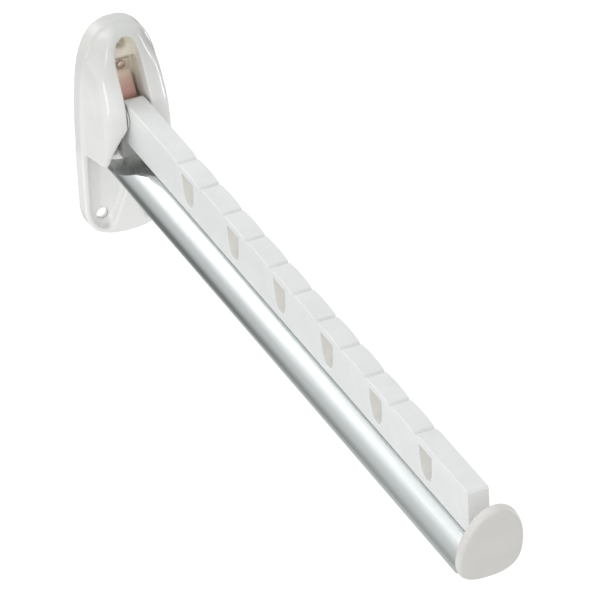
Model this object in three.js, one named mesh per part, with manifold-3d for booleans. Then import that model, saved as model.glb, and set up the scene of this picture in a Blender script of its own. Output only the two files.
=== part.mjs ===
// Wall-mounted hanger arm that folds up out of the way.
// A moulded wall bracket with two cheeks carries a hinge pin. The arm is a drop-shaped
// aluminium channel with a notched plastic hanger rail on top and a leaning cap at its tip.
//
// Frame: millimetres, origin on the wall face, +Z up, the arm reaches out along -Y, X across.
// Outlines are drawn as (out, up) for side views, (across, up) for front views and
// (across, out) for plans, where "out" is the distance from the wall.

import * as THREE from 'three';
import { mergeVertices } from 'three/addons/utils/BufferGeometryUtils.js';
import Module from 'manifold-3d';

const wasm = await Module();
wasm.setup();

// ---------------------------------------------------------------- driving dimensions
const GAP = 0.3;                 // between pieces that touch
const PIVOT = { out: 21.4, up: 13.4 };
const PIN_RADIUS = 2.2;
const PIN_HALF_LENGTH = 8.9;
const SOCKET_DEPTH = 9.2;        // blind sockets in the cheeks, measured from the middle

const BRACKET_TOP = 47.3;
const BRACKET_BOTTOM = -47.2;
const WALL_THICKNESS = 2.2;
const RIM_DEPTH = 7;             // depth of the plate below the cheeks
const CHEEK_BOTTOM = -8;
// level sections through the cheeks: [up, half width at the wall, fold across, fold out, front]
const CHEEK_SECTIONS = [
  [CHEEK_BOTTOM, 18.1, 14.2, 19.4, 21.4], [-5, 18.1, 14, 21, 23.4], [0, 18, 13.8, 22.3, 25],
  [6, 17.9, 13.7, 22.4, 25.4], [14, 17.5, 13.6, 21.8, 25.4], [19, 17.1, 13.5, 20.4, 24.9],
  [23, 16.7, 13.4, 18.6, 23.4], [30, 15.6, 13.2, 14.8, 19.9], [34.5, 14.6, 12.9, 9, 17.7],
  [38, 13.1, 12.4, 4, 16.3], [41, 12.1, 11.7, 1.2, 15.3], [44.2, 9.4, 9.1, 0.6, 14.6],
  [45.8, 7, 6.8, 0.4, 12.6], [46.7, 4.6, 4.5, 0.3, 9], [BRACKET_TOP + 0.1, 2, 1.9, 0.2, 2.5],
];
const BACK_RECESS = 1.8;
const BACK_PLATE = 1.5;

const SLOT_HALF_WIDTH = 5.3;
const SLOT_FLOOR = 7.5;
const BOSS_FLOOR = 10.5;
const BOSS_BOTTOM = 33;
const SLOT_TOP = 44.4;

const DISH_FLOOR = 3.6;
const LOWER_SCREW = { across: 9.7, up: -39 };
const UPPER_SCREW_UP = 38.7;
const SCREW_HOLE_RADIUS = 2.2;

const RAIL_HALF_WIDTH = 4.3;
const RAIL_TOP = 19.7;
const RAIL_BOTTOM = 1.3;
const RAIL_END = 327;
const KNUCKLE_RADIUS = RAIL_TOP - PIVOT.up;
const NOTCH_PITCH = 21.14;
const NOTCH_COUNT = 11;
const FIRST_NOTCH = 71.2;
const NOTCH_DEPTH = 2.1;
const NOTCH_HALF_WIDTH = 1.1;
const PAD_DROP = 0.7;            // how far a pad's ends lie below its crown
const WINDOW_COUNT = 6;
const FIRST_WINDOW = 80.4;
const WINDOW_PITCH = 2 * NOTCH_PITCH;
const WINDOW_TOP = 16.5;
const WINDOW_BOTTOM = 4.4;
const WINDOW_HALF_WIDTH = 5.4;

const CHANNEL_START = 8.3;
const CHANNEL_WALL = 1.3;
const BEVEL_START = 49.4;        // where the bevelled root reaches the channel's lips
const CHANNEL_BOTTOM = -14.4;
const CHANNEL_SCREW_OUT = 61;
const SCREW_SHANK = 1.2;
const FOOT_START = 53;
const FOOT_BOTTOM = -4.6;

const CAP_TILT = THREE.MathUtils.degToRad(18);
const CAP_FRONT = 337.5;         // the cap's front face at rail-bottom height
const CAP_THICKNESS = 4.2;
const CAP_HALF_WIDTH = 12.6;
const CAP_UP = 24.2;             // above the widest line, measured in the plate
const CAP_DOWN = 13.1;
const CAP_WIDEST = -3;

// ---------------------------------------------------------------- materials
const material = (name, color, roughness, metalness) =>
  new THREE.MeshStandardMaterial({ name, color, roughness, metalness });

const whitePlastic = material('white_plastic', 0xe6e6e2, 0.38, 0);
const railPlastic = material('rail_plastic', 0xe9ecea, 0.45, 0);
const capPlastic = material('cap_plastic', 0xdeddd6, 0.42, 0);
const anodised = material('anodised_aluminium', 0xc4cbca, 0.32, 1);
const steel = material('zinc_steel', 0xb9bcc0, 0.3, 1);
const bronze = material('spring_bronze', 0xb27a4c, 0.35, 1);
const nylon = material('nylon', 0xd8d6cc, 0.5, 0);
const stopRubber = material('stop_rubber', 0x8c8c88, 0.8, 0);

// ---------------------------------------------------------------- geometry helpers
function outline(points) {
  return new THREE.Shape(points.map(([x, y]) => new THREE.Vector2(x, y)));
}

function extrude(shape, depth, curveSegments = 10) {
  return new THREE.ExtrudeGeometry(shape, { depth, bevelEnabled: false, curveSegments });
}

// side view (out, up), extruded across from x0 to x1
function acrossPrism(shape, x0, x1, curveSegments) {
  const geometry = extrude(shape, x1 - x0, curveSegments);
  const basis = new THREE.Matrix4().makeBasis(
    new THREE.Vector3(0, -1, 0), new THREE.Vector3(0, 0, 1), new THREE.Vector3(-1, 0, 0));
  return geometry.applyMatrix4(basis).translate(x1, 0, 0);
}

// front view (across, up), extruded away from the wall from out0 to out1
function outwardPrism(shape, out0, out1, curveSegments) {
  return extrude(shape, out1 - out0, curveSegments).rotateX(Math.PI / 2).translate(0, -out0, 0);
}

function box(x0, x1, out0, out1, z0, z1) {
  const geometry = new THREE.BoxGeometry(x1 - x0, out1 - out0, z1 - z0);
  return geometry.translate((x0 + x1) / 2, -(out0 + out1) / 2, (z0 + z1) / 2);
}

function acrossCylinder(radius, x0, x1, centre, segments = 28) {
  const geometry = new THREE.CylinderGeometry(radius, radius, x1 - x0, segments);
  return geometry.rotateZ(Math.PI / 2).translate((x0 + x1) / 2, -centre.out, centre.up);
}

function outwardCylinder(radius0, radius1, out0, out1, x, z, segments = 24) {
  const geometry = new THREE.CylinderGeometry(radius0, radius1, out1 - out0, segments);
  return geometry.translate(x, -(out0 + out1) / 2, z);
}

function solid(geometry) {
  const plain = geometry.clone();
  plain.deleteAttribute('normal');
  plain.deleteAttribute('uv');
  const merged = mergeVertices(plain, 1e-4);
  return new wasm.Manifold(new wasm.Mesh({
    numProp: 3,
    vertProperties: new Float32Array(merged.attributes.position.array),
    triVerts: new Uint32Array(merged.index.array),
  }));
}

const join = (...parts) => parts.reduce((sum, part) => sum.add(part));
const cut = (body, ...tools) => tools.reduce((rest, tool) => rest.subtract(tool), body);
const common = (...parts) => parts.reduce((rest, part) => rest.intersect(part));

function geometryOf(manifold) {
  const mesh = manifold.getMesh();
  const geometry = new THREE.BufferGeometry();
  geometry.setAttribute('position', new THREE.BufferAttribute(mesh.vertProperties, 3));
  geometry.setIndex(new THREE.BufferAttribute(mesh.triVerts, 1));
  geometry.computeVertexNormals();
  return geometry;
}

function named(name, shape, look) {
  const geometry = shape instanceof THREE.BufferGeometry ? shape : geometryOf(shape);
  const mesh = new THREE.Mesh(geometry, look);
  mesh.name = name;
  return mesh;
}

function bothSides(points) {
  const mirrored = points.slice(1, -1).reverse().map(([x, y]) => [-x, y]);
  return [...points, ...mirrored];
}

// ---------------------------------------------------------------- bracket
// the bracket seen from the front, drawn smaller by inset
function bracketFront(inset = 0) {
  const shape = new THREE.Shape();
  const top = BRACKET_TOP - inset;
  const bottom = BRACKET_BOTTOM + inset;
  const side = (x) => x - inset;
  shape.moveTo(0, bottom);
  shape.bezierCurveTo(side(10.5), bottom, side(18), -44 + inset, side(18.2), -34);
  shape.bezierCurveTo(side(18.2), -15, side(18.2), 2, side(17.1), 16);
  shape.bezierCurveTo(side(16), 31, side(13.6), top + 0.3, 0, top);
  shape.bezierCurveTo(-side(13.6), top + 0.3, -side(16), 31, -side(17.1), 16);
  shape.bezierCurveTo(-side(18.2), 2, -side(18.2), -15, -side(18.2), -34);
  shape.bezierCurveTo(-side(18), -44 + inset, -side(10.5), bottom, 0, bottom);
  return shape;
}

// half of a level section through the cheeks: along the wall, round the fold, to the middle
function cheekSection([, wall, foldAcross, foldOut, front], inset) {
  const corner = new THREE.Vector2(wall - inset, 0);
  const fold = new THREE.Vector2(foldAcross - inset, Math.max(foldOut - inset * 0.6, 0.05));
  const nose = new THREE.Vector2(Math.min(SLOT_HALF_WIDTH, fold.x / 2), front - inset);
  const bow = new THREE.Vector2((corner.x + fold.x) / 2 + 0.5, fold.y / 2);
  const brow = new THREE.Vector2(Math.max(fold.x - 2.2, nose.x), nose.y - 0.2);
  const side = new THREE.QuadraticBezierCurve(corner, bow, fold).getPoints(4);
  const face = new THREE.QuadraticBezierCurve(fold, brow, nose).getPoints(6);
  const skin = [...side, ...face.slice(1)].map(({ x, y }) => [x, y]);
  return [[0, -1], [corner.x, -1], ...skin, [0, nose.y]];
}

// level sections stacked into one solid
function upwardLoft(sections, heights) {
  const count = sections[0].length;
  const top = (sections.length - 1) * count;
  const position = sections.flatMap((ring, i) => ring.flatMap(([x, out]) => [x, -out, heights[i]]));
  const index = [];
  for (let k = 1; k < count - 1; k += 1) index.push(0, k, k + 1, top, top + k + 1, top + k);
  for (let base = 0; base < top; base += count) {
    for (let k = 0; k < count; k += 1) {
      const a = base + k;
      const b = base + ((k + 1) % count);
      index.push(a, a + count, b + count, a, b + count, b);
    }
  }
  const geometry = new THREE.BufferGeometry();
  geometry.setAttribute('position', new THREE.Float32BufferAttribute(position, 3));
  geometry.setIndex(index);
  return geometry;
}

function cheeks(inset) {
  const heights = CHEEK_SECTIONS.map(([up]) => (up > 0 ? up - inset * 0.9 : up + inset));
  const sections = CHEEK_SECTIONS.map((row) => bothSides(cheekSection(row, inset)));
  return solid(upwardLoft(sections, heights));
}

function backPlateBody(inset) {
  const edge = 1;
  const plate = new THREE.ExtrudeGeometry(bracketFront(inset), {
    depth: RIM_DEPTH + 3 - 2 * edge, bevelThickness: edge, bevelSize: edge, bevelOffset: -edge,
    bevelSegments: 2, curveSegments: 7,
  });
  return solid(plate.rotateX(Math.PI / 2).translate(0, 3 - edge, 0));
}

function bracketBody(inset) {
  const outlineBlock = solid(outwardPrism(bracketFront(inset), 0, 36, 7));
  const halfSpace = solid(box(-30, 30, 0, 40, -60, 60));
  return join(common(outlineBlock, cheeks(inset)), common(backPlateBody(inset), halfSpace));
}

// the slot the rail folds into, with a raised boss for the upper screw at its top
function slotTool() {
  const side = outline([
    [SLOT_FLOOR, CHEEK_BOTTOM - 1], [40, CHEEK_BOTTOM - 1], [40, SLOT_TOP], [BOSS_FLOOR, SLOT_TOP],
    [BOSS_FLOOR, BOSS_BOTTOM], [SLOT_FLOOR, BOSS_BOTTOM - 0.8],
  ]);
  return solid(acrossPrism(side, -SLOT_HALF_WIDTH, SLOT_HALF_WIDTH));
}

// the cheeks' lower inner edges flare to give the wide channel room
function flareTool() {
  const half = [[0, 10], [5.3, 9.6], [8.4, 5.2], [10.9, 0.3], [12, -4], [12.5, -9.5], [0, -9.5]];
  return solid(outwardPrism(outline(bothSides(half)), 13, 40));
}

// a shallow dish beside the middle land of the lower plate
function dishTool(side) {
  const shape = new THREE.Shape();
  shape.moveTo(1, CHEEK_BOTTOM - 1);
  shape.lineTo(15.4, CHEEK_BOTTOM - 1);
  shape.lineTo(16, -33);
  shape.bezierCurveTo(15.8, -40, 13, -43.4, 9.4, -43.9);
  shape.quadraticCurveTo(7.4, -44, 6.6, -42.2);
  shape.lineTo(1, -29.3);
  const dish = outwardPrism(shape, DISH_FLOOR, 20, 6);
  return side > 0 ? solid(dish) : solid(dish).mirror([1, 0, 0]);
}

function screwHoles(radius) {
  return [
    solid(outwardCylinder(radius, radius, -1, 30, 0, UPPER_SCREW_UP)),
    solid(outwardCylinder(radius, radius, -1, 12, -LOWER_SCREW.across, LOWER_SCREW.up)),
    solid(outwardCylinder(radius, radius, -1, 12, LOWER_SCREW.across, LOWER_SCREW.up)),
  ];
}

// the moulding is hollow behind: one room under each cheek and one behind the slot floor
function rearCavity() {
  const lower = CHEEK_BOTTOM + WALL_THICKNESS;
  const rooms = common(bracketBody(WALL_THICKNESS), solid(box(-30, 30, BACK_RECESS - 1, 40, lower, 39)));
  const slotWalls = solid(box(-7.3, 7.3, -1, 40, -60, 60));
  const pinBosses = solid(acrossCylinder(PIN_RADIUS + 2.4, -14, 14, PIVOT));
  const flareWalls = solid(box(-15.8, 15.8, 10.8, 40, -20, 11.5));
  const behindSlot = solid(box(-5.3, 5.3, BACK_RECESS - 1, SLOT_FLOOR - WALL_THICKNESS, lower, 30.5));
  return join(cut(rooms, slotWalls, pinBosses, flareWalls), behindSlot);
}

function bracketShell() {
  const recess = solid(outwardPrism(bracketFront(WALL_THICKNESS), -1, BACK_RECESS, 7));
  const sockets = solid(acrossCylinder(PIN_RADIUS + GAP, -SOCKET_DEPTH, SOCKET_DEPTH, PIVOT));
  const shell = cut(bracketBody(0), slotTool(), flareTool(), dishTool(1), dishTool(-1));
  return cut(shell, recess, rearCavity(), sockets, ...screwHoles(SCREW_HOLE_RADIUS));
}

function backPlate() {
  const plate = solid(outwardPrism(bracketFront(WALL_THICKNESS + GAP), 0, BACK_PLATE, 7));
  return cut(plate, ...screwHoles(SCREW_HOLE_RADIUS + 0.2));
}

// ---------------------------------------------------------------- pieces inside the slot
function hingePin() {
  const profile = [
    [0, -PIN_HALF_LENGTH], [PIN_RADIUS - 0.5, -PIN_HALF_LENGTH], [PIN_RADIUS, 0.5 - PIN_HALF_LENGTH],
    [PIN_RADIUS, PIN_HALF_LENGTH - 0.5], [PIN_RADIUS - 0.5, PIN_HALF_LENGTH], [0, PIN_HALF_LENGTH],
  ];
  const pin = new THREE.LatheGeometry(profile.map(([r, z]) => new THREE.Vector2(r, z)), 28);
  return pin.rotateZ(Math.PI / 2).translate(0, -PIVOT.out, PIVOT.up);
}

// flanged bush between the rail's knuckle and a cheek
function pivotBush(side) {
  const inner = PIN_RADIUS + 0.08;
  const points = [
    [inner, 0], [3.4, 0], [3.4, 3.4], [4.4, 3.4], [4.4, 3.8], [inner, 3.8],
  ];
  const ring = [...points, points[0]].map(([r, x]) => new THREE.Vector2(r, x));
  const bush = new THREE.LatheGeometry(ring, 24).translate(0, 1.2, 0);
  return bush.rotateZ(-side * Math.PI / 2).translate(0, -PIVOT.out, PIVOT.up);
}

// arched leaf that presses on the knuckle and holds the folded arm
function detentLeaf() {
  const thickness = 0.5;
  const face = [
    [8.4, 31], [8.4, 26.6], [9.8, 23.4], [12.2, 19.6], [13.9, 16], [14.2, 13], [13.2, 10], [11.2, 8],
  ];
  const back = face.map(([out, up]) => [out - thickness, up]).reverse();
  const leaf = solid(acrossPrism(outline([...face, ...back]), -3.8, 3.8));
  return cut(leaf, solid(outwardCylinder(1.3, 1.3, 6, 11, 0, 28.8)));
}

function leafScrew() {
  const head = solid(outwardCylinder(2.4, 1.9, 8.7, 9.9, 0, 28.8, 20));
  const shank = solid(outwardCylinder(1, 1, SLOT_FLOOR + GAP, 9, 0, 28.8, 16));
  const recess = join(solid(box(-1.5, 1.5, 9.3, 11, 28.5, 29.1)), solid(box(-0.3, 0.3, 9.3, 11, 27.3, 30.3)));
  return cut(join(head, shank), recess);
}

// soft pad that the heel of the rail comes to rest against
function stopPad() {
  const pad = outline([
    [SLOT_FLOOR + GAP, -9.6], [13.3, -9.6], [14.4, -9.1], [14.8, -8.1], [14.8, 5.2], [14.1, 6],
    [SLOT_FLOOR + GAP, 6],
  ]);
  return acrossPrism(pad, -4, 4);
}

// ---------------------------------------------------------------- arm
// the drop-shaped channel section, drawn smaller by inset
function channelSection(inset, lip) {
  const shape = new THREE.Shape();
  const bottom = CHANNEL_BOTTOM + inset;
  const x = (value) => value - inset;
  shape.moveTo(0, bottom);
  shape.bezierCurveTo(x(5.5), bottom, x(9.6), -13.2 + inset, x(11.4), -10.6 + inset * 0.6);
  shape.bezierCurveTo(x(12.6), -8.6, x(12.4), -6.4, x(10.9), -4 - inset * 0.3);
  shape.bezierCurveTo(x(9.4), -1.7 - inset * 0.7, x(7.2), 0.2 - inset, lip, 1 - inset);
  shape.lineTo(-lip, 1 - inset);
  shape.bezierCurveTo(-x(7.2), 0.2 - inset, -x(9.4), -1.7 - inset * 0.7, -x(10.9), -4 - inset * 0.3);
  shape.bezierCurveTo(-x(12.4), -6.4, -x(12.6), -8.6, -x(11.4), -10.6 + inset * 0.6);
  shape.bezierCurveTo(-x(9.6), -13.2 + inset, -x(5.5), bottom, 0, bottom);
  return shape;
}

// everything beyond the leaning plane that lies the given distance behind the cap's front
function beyondCapPlane(behindFront) {
  const lean = Math.tan(CAP_TILT);
  const at = CAP_FRONT - behindFront / Math.cos(CAP_TILT);
  return solid(acrossPrism(outline([
    [at - 30 * lean, -30], [400, -30], [400, 30], [at + 30 * lean, 30],
  ]), -30, 30));
}

function armChannel() {
  const outer = solid(outwardPrism(channelSection(0, 5), CHANNEL_START, 345, 7));
  const inner = solid(outwardPrism(channelSection(CHANNEL_WALL, 4), CHANNEL_START - 1, 346, 7));
  const mouth = solid(box(-3.8, 3.8, CHANNEL_START - 1, 346, -2, 5));
  const bevel = solid(acrossPrism(outline([
    [0, -10.4], [13, -10.4], [19.4, -9.4], [29.6, -6.6], [39.8, -1.6], [BEVEL_START, 1.05], [BEVEL_START, 5], [0, 5],
  ]), -20, 20));
  const screwHole = solid(new THREE.CylinderGeometry(SCREW_SHANK + GAP, SCREW_SHANK + GAP, 6, 16)
    .rotateX(Math.PI / 2).translate(0, -CHANNEL_SCREW_OUT, CHANNEL_BOTTOM));
  return cut(outer, inner, mouth, bevel, screwHole, beyondCapPlane(CAP_THICKNESS + GAP));
}

// the rail's side view: knuckle, long plain root, crowned pads between notches, plain end
function railSide() {
  const shape = new THREE.Shape();
  const low = RAIL_TOP - PAD_DROP;
  shape.moveTo(PIVOT.out - KNUCKLE_RADIUS + 1.5, RAIL_BOTTOM);
  shape.lineTo(RAIL_END, RAIL_BOTTOM);
  shape.lineTo(RAIL_END, RAIL_TOP - 0.8);
  shape.lineTo(RAIL_END - 0.8, RAIL_TOP);
  for (let i = NOTCH_COUNT - 1; i >= 0; i -= 1) {
    const notch = FIRST_NOTCH + i * NOTCH_PITCH;
    const isLast = i === NOTCH_COUNT - 1;
    if (isLast) shape.lineTo(notch + 5, RAIL_TOP);
    else shape.quadraticCurveTo(notch + NOTCH_PITCH / 2, RAIL_TOP + PAD_DROP, notch + NOTCH_HALF_WIDTH, low);
    if (isLast) shape.lineTo(notch + NOTCH_HALF_WIDTH, low);
    shape.lineTo(notch, RAIL_TOP - NOTCH_DEPTH);
    shape.lineTo(notch - NOTCH_HALF_WIDTH, low);
  }
  shape.lineTo(FIRST_NOTCH - 5, RAIL_TOP);
  shape.lineTo(PIVOT.out, RAIL_TOP);
  shape.absarc(PIVOT.out, PIVOT.up, KNUCKLE_RADIUS, Math.PI / 2, Math.PI, false);
  shape.lineTo(PIVOT.out - KNUCKLE_RADIUS, RAIL_BOTTOM + 1.5);
  return shape;
}

// a shield-shaped window: flat top, nearly upright sides, round bottom
function windowTool(out) {
  const w = WINDOW_HALF_WIDTH;
  const waist = WINDOW_TOP - 5.2;
  const shape = new THREE.Shape();
  shape.moveTo(out - w, WINDOW_TOP);
  shape.lineTo(out - w + 0.3, waist);
  shape.bezierCurveTo(out - w + 0.6, 7, out - 3, WINDOW_BOTTOM, out, WINDOW_BOTTOM);
  shape.bezierCurveTo(out + 3, WINDOW_BOTTOM, out + w - 0.6, 7, out + w - 0.3, waist);
  shape.lineTo(out + w, WINDOW_TOP);
  return solid(acrossPrism(shape, -10, 10, 5));
}

function hangerRail() {
  const body = solid(acrossPrism(railSide(), -RAIL_HALF_WIDTH, RAIL_HALF_WIDTH, 5));
  const neck = solid(box(-3.5, 3.5, FOOT_START, RAIL_END - 3, -2.5, RAIL_BOTTOM + 1));
  const foot = solid(box(-6.2, 6.2, FOOT_START, RAIL_END - 3, FOOT_BOTTOM, -2.2));
  const screwBoss = solid(new THREE.CylinderGeometry(3, 3, 9, 20)
    .rotateX(Math.PI / 2).translate(0, -CHANNEL_SCREW_OUT, FOOT_BOTTOM - 3.4));
  const pilot = solid(new THREE.CylinderGeometry(SCREW_SHANK + GAP, SCREW_SHANK + GAP, 7, 16)
    .rotateX(Math.PI / 2).translate(0, -CHANNEL_SCREW_OUT, FOOT_BOTTOM - 5));
  const bore = solid(acrossCylinder(3.4 + GAP, -10, 10, PIVOT));
  const windows = [];
  for (let i = 0; i < WINDOW_COUNT; i += 1) windows.push(windowTool(FIRST_WINDOW + i * WINDOW_PITCH));
  return cut(join(body, neck, foot, screwBoss), pilot, bore, ...windows);
}

// the cap's outline in its own plane: an upper half-ellipse on a blunter lower half
function capOutline() {
  const bluntness = 2.6;
  const points = [];
  const steps = 44;
  for (let i = 0; i < steps; i += 1) {
    const angle = (2 * Math.PI * i) / steps;
    const c = Math.cos(angle);
    const s = Math.sin(angle);
    const power = s < 0 ? 2 / bluntness : 1;
    const height = s < 0 ? CAP_DOWN : CAP_UP;
    const across = CAP_HALF_WIDTH * Math.sign(c) * Math.abs(c) ** power;
    points.push([across, CAP_WIDEST + height * Math.sign(s) * Math.abs(s) ** power]);
  }
  return outline(points);
}

function endCap() {
  const edge = 1.2;
  const plate = new THREE.ExtrudeGeometry(capOutline(), {
    depth: CAP_THICKNESS - 2 * edge, bevelThickness: edge, bevelSize: edge, bevelOffset: -edge, bevelSegments: 3,
  });
  plate.translate(0, 0, edge - CAP_THICKNESS).rotateX(Math.PI / 2 + CAP_TILT).translate(0, -CAP_FRONT, 0);
  const plugSection = channelSection(CHANNEL_WALL + GAP, 2.6);
  const room = cut(
    solid(outwardPrism(plugSection, RAIL_END - 16, 340, 6)),
    solid(box(-20, 20, 0, RAIL_END - 2.5, -5.2, 10)),
    solid(box(-20, 20, 0, 400, -1.6, 10)),
    beyondCapPlane(CAP_THICKNESS - 0.5));
  const hollow = solid(outwardPrism(channelSection(CHANNEL_WALL + 2.4, 2), RAIL_END - 17, RAIL_END - 4, 6));
  return join(solid(plate), cut(room, hollow));
}

// screw from below that locks the channel to the rail's foot
function channelScrew() {
  const profile = [
    [0, -8.6], [SCREW_SHANK, -8.6], [SCREW_SHANK, 0], [2.7, 0], [2.7, 0.5], [1.7, 1.3], [0, 1.4],
  ];
  const screw = new THREE.LatheGeometry(profile.map(([r, z]) => new THREE.Vector2(r, z)), 20);
  return screw.rotateX(-Math.PI / 2).translate(0, -CHANNEL_SCREW_OUT, CHANNEL_BOTTOM - GAP);
}

// ---------------------------------------------------------------- the object
const arm = new THREE.Group();
arm.name = 'folding_arm';
arm.add(
  named('hanger_rail', hangerRail(), railPlastic),
  named('arm_channel', armChannel(), anodised),
  named('end_cap', endCap(), capPlastic),
  named('channel_screw', channelScrew(), steel),
  named('pivot_bush_left', pivotBush(-1), nylon),
  named('pivot_bush_right', pivotBush(1), nylon));

const bracket = new THREE.Group();
bracket.name = 'wall_bracket';
bracket.add(
  named('bracket_shell', bracketShell(), whitePlastic),
  named('back_plate', backPlate(), whitePlastic),
  named('hinge_pin', hingePin(), steel),
  named('detent_leaf', detentLeaf(), bronze),
  named('leaf_screw', leafScrew(), steel),
  named('stop_pad', stopPad(), stopRubber));

const hangerArm = new THREE.Group();
hangerArm.name = 'folding_hanger_arm';
hangerArm.add(bracket, arm);

export default hangerArm;
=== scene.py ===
# %% [markdown]
# # A wall hanger arm that folds up
# The object is a short clothes rail for a wall. A white moulded bracket is screwed to the wall,
# and an arm hinges out of the slot between its two cheeks. The arm is a drop-shaped aluminium
# channel with a notched plastic rail on top and a leaning plastic cap at its tip.
# This notebook builds the looks of each piece around the fixed model of the object, then its
# finishes, then a plain studio. Every length is in millimetres until a piece is finished.

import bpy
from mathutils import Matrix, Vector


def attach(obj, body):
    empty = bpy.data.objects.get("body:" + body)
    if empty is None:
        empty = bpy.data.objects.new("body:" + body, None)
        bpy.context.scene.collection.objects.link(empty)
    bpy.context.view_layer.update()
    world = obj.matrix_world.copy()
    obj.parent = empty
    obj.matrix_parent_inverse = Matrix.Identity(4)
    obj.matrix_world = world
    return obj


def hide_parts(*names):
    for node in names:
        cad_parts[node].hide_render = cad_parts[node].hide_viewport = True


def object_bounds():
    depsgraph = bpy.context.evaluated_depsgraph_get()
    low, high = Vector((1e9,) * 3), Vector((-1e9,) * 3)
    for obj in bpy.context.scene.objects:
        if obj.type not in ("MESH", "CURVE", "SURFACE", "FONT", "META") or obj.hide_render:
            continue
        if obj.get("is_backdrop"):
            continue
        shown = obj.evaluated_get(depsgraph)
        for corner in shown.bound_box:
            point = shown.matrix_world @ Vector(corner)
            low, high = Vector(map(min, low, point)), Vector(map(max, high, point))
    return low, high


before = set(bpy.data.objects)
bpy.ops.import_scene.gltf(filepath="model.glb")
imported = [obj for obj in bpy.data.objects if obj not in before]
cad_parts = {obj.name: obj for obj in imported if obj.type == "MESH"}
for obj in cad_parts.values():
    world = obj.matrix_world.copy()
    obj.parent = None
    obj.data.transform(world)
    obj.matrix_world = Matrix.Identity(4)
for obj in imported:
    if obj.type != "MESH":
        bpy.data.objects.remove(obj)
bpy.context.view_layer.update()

# %% Libraries and units
import math

import bmesh
import bpy
from mathutils import Matrix, Vector

MM = 0.001

# %% [markdown]
# ## Camera first
# The camera looks down on the arm from the front left, from far away with a long lens, so that
# the arm hardly tapers. It is placed by the direction it looks from and a small roll.

# %% Camera
VIEW_AZIMUTH = math.radians(-22.61)
VIEW_ELEVATION = math.radians(32.36)
VIEW_ROLL = math.radians(-3.39)
VIEW_TARGET = Vector((0.00112, -0.17167, 0.01182))
VIEW_DISTANCE = 2.695
LENS = 437.5


def aim_camera():
    towards = Vector((
        math.sin(VIEW_AZIMUTH) * math.cos(VIEW_ELEVATION),
        -math.cos(VIEW_AZIMUTH) * math.cos(VIEW_ELEVATION),
        math.sin(VIEW_ELEVATION)))
    level = (-towards).cross(Vector((0, 0, 1))).normalized()
    upright = level.cross(-towards)
    right = level * math.cos(VIEW_ROLL) + upright * math.sin(VIEW_ROLL)
    up = upright * math.cos(VIEW_ROLL) - level * math.sin(VIEW_ROLL)
    turn = Matrix((right, up, towards)).transposed()
    lens = bpy.data.cameras.new("studio_camera")
    lens.lens = LENS
    lens.sensor_width = 36.0
    lens.clip_start, lens.clip_end = 0.05, 100.0
    camera = bpy.data.objects.new("studio_camera", lens)
    camera.matrix_world = Matrix.Translation(VIEW_TARGET + towards * VIEW_DISTANCE) @ turn.to_4x4()
    bpy.context.scene.collection.objects.link(camera)
    bpy.context.scene.camera = camera
    return camera


camera = aim_camera()
print("camera at", [round(v, 3) for v in camera.matrix_world.translation])

# %% [markdown]
# ## Drawing and shaping tools
# A moulding is easiest to describe by its outlines, as a draughtsman does: a front view, a side
# view and a plan. `draw` turns a few strokes into a finely stepped outline. `prism` pushes an
# outline through space, and `carve` joins, cuts or crosses two solids. A slot, a dish or a boss is
# then one drawn outline and one cut, which no single lathe or extrusion could give.

# %% Outlines
SIDE, FRONT, PLAN = "side", "front", "plan"
FINE = 22


def draw(start, *strokes, fine=FINE):
    """Points of an outline. A stroke of one point is a line, of two a bow, of three a curve."""
    points = [Vector(start)]
    for stroke in strokes:
        guide = [points[-1], *map(Vector, stroke)]
        steps = 1 if len(stroke) == 1 else fine
        for step in range(1, steps + 1):
            level = guide
            while len(level) > 1:
                level = [a.lerp(b, step / steps) for a, b in zip(level, level[1:])]
            points.append(level[0])
    return points


def mirrored(half):
    """A half outline that starts and ends on the middle line, with its other half added."""
    return half + [Vector((-p.x, p.y)) for p in reversed(half[1:-1])]


def circle(x, y, radius, steps=48):
    turns = (2 * math.pi * k / steps for k in range(steps))
    return [Vector((x + radius * math.cos(t), y + radius * math.sin(t))) for t in turns]


def in_row(kind, u, v, w):
    """A drawn point as (across, -out, up)."""
    return {SIDE: (w, -u, v), FRONT: (u, -w, v), PLAN: (u, -v, w)}[kind]


# %% Solids from outlines
def new_piece(name, mesh):
    piece = bpy.data.objects.new(name, mesh)
    bpy.context.scene.collection.objects.link(piece)
    return piece


def mesh_piece(name, points, faces):
    mesh = bpy.data.meshes.new(name)
    mesh.from_pydata([tuple(p) for p in points], [], faces)
    shape = bmesh.new()
    shape.from_mesh(mesh)
    bmesh.ops.remove_doubles(shape, verts=shape.verts, dist=1e-4)
    bmesh.ops.recalc_face_normals(shape, faces=shape.faces)
    shape.to_mesh(mesh)
    shape.free()
    return new_piece(name, mesh)


def prism(kind, outline, low, high, name="tool"):
    n = len(outline)
    points = [in_row(kind, p.x, p.y, w) for w in (low, high) for p in outline]
    sides = [(k, (k + 1) % n, n + (k + 1) % n, n + k) for k in range(n)]
    caps = [tuple(reversed(range(n))), tuple(range(n, 2 * n))]
    return mesh_piece(name, points, sides + caps)


def block(x0, x1, out0, out1, z0, z1):
    corners = [(out0, z0), (out1, z0), (out1, z1), (out0, z1)]
    return prism(SIDE, [Vector(c) for c in corners], x0, x1)


# %% Joining, cutting and settling
def settle(piece):
    """Turns what the modifiers show into the piece's own mesh."""
    shown = piece.evaluated_get(bpy.context.evaluated_depsgraph_get())
    mesh = bpy.data.meshes.new_from_object(shown)
    piece.modifiers.clear()
    piece.data = mesh
    return piece


def carve(body, *tools, how="DIFFERENCE"):
    for tool in tools:
        step = body.modifiers.new("carve", "BOOLEAN")
        step.operation, step.object, step.solver = how, tool, "EXACT"
        settle(body)
        bpy.data.objects.remove(tool)
    return body


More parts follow.
